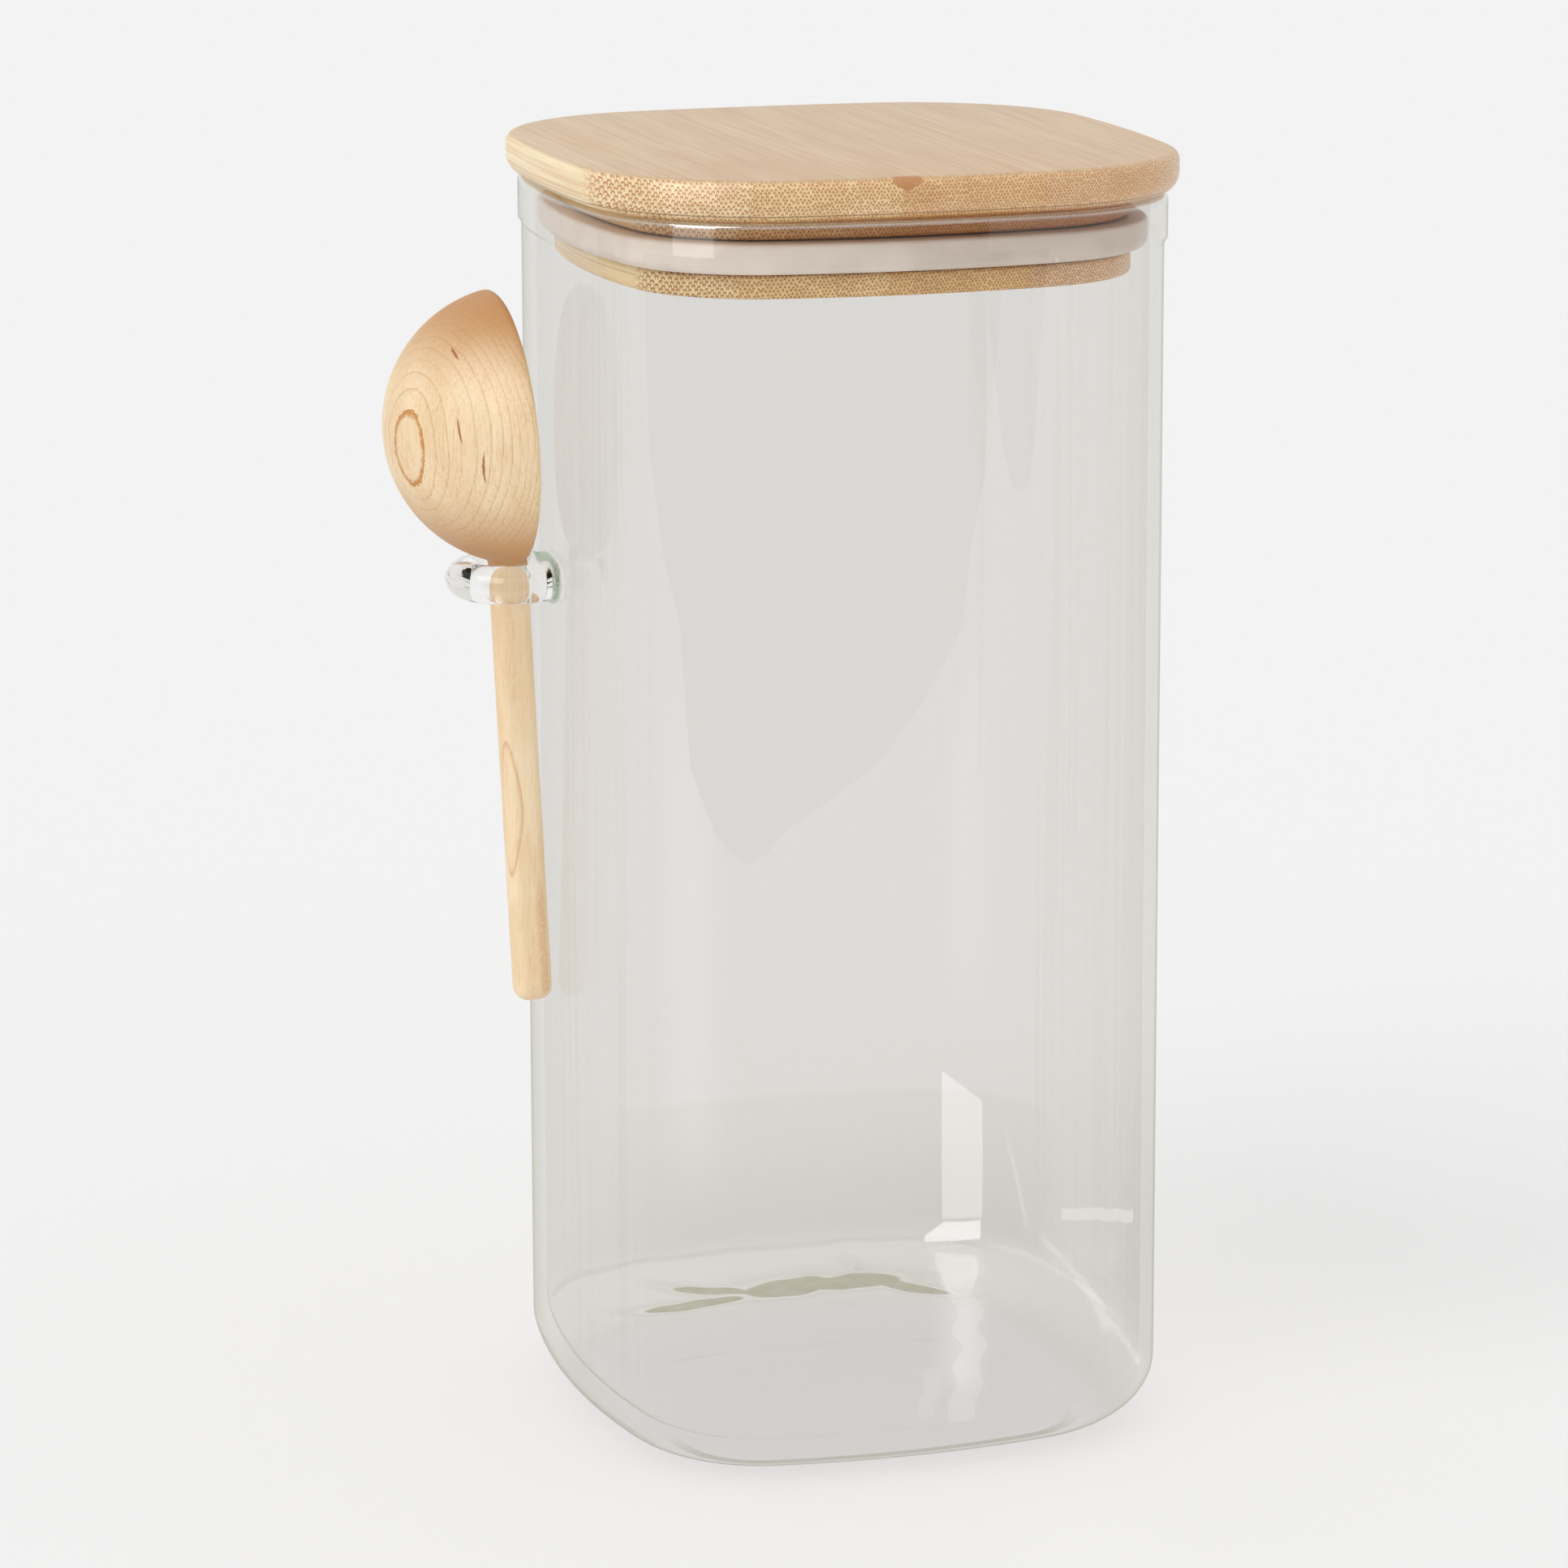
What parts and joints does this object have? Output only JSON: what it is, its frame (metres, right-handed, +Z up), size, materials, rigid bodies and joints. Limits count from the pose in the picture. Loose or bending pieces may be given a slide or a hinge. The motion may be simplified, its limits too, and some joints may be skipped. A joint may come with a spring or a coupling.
{
  "type": "storage jar",
  "caption": "Square glass storage jar with rounded corners, a bamboo lid with a soft seal, and a wooden scoop that hangs in a glass ring on its side.",
  "frame": {"origin": "middle of the jar's flat base, on the surface it stands on", "axes": "+Z up; -Y is the front wall in the picture; -X is the wall that carries the ring and the scoop"},
  "size_m": [0.1293, 0.1034, 0.2164],
  "materials": {
    "clear_glass": "clear, polished",
    "bamboo": "satin, fine straight grain with dotted end grain",
    "soft_seal": "milky, translucent, satin",
    "pale_wood": "satin, turned, with contour grain"
  },
  "bodies": {
    "jar": {"glass_body": "clear_glass", "scoop_ring": "clear_glass"},
    "lid": {"lid_top_board": "bamboo", "lid_plug_board": "bamboo", "seal_ring": "soft_seal"},
    "scoop_body": {"scoop": "pale_wood"}
  },
  "joints": [
    {"name": "lid_lift", "type": "slide", "parent": "jar", "child": "lid", "axis": [0, 0, 1], "range_m": [0, 0.04]},
    {"name": "scoop_lift", "type": "slide", "parent": "jar", "child": "scoop_body", "axis": [-0.0466, 0, 0.9989], "range_m": [0, 0.085]}
  ]
}
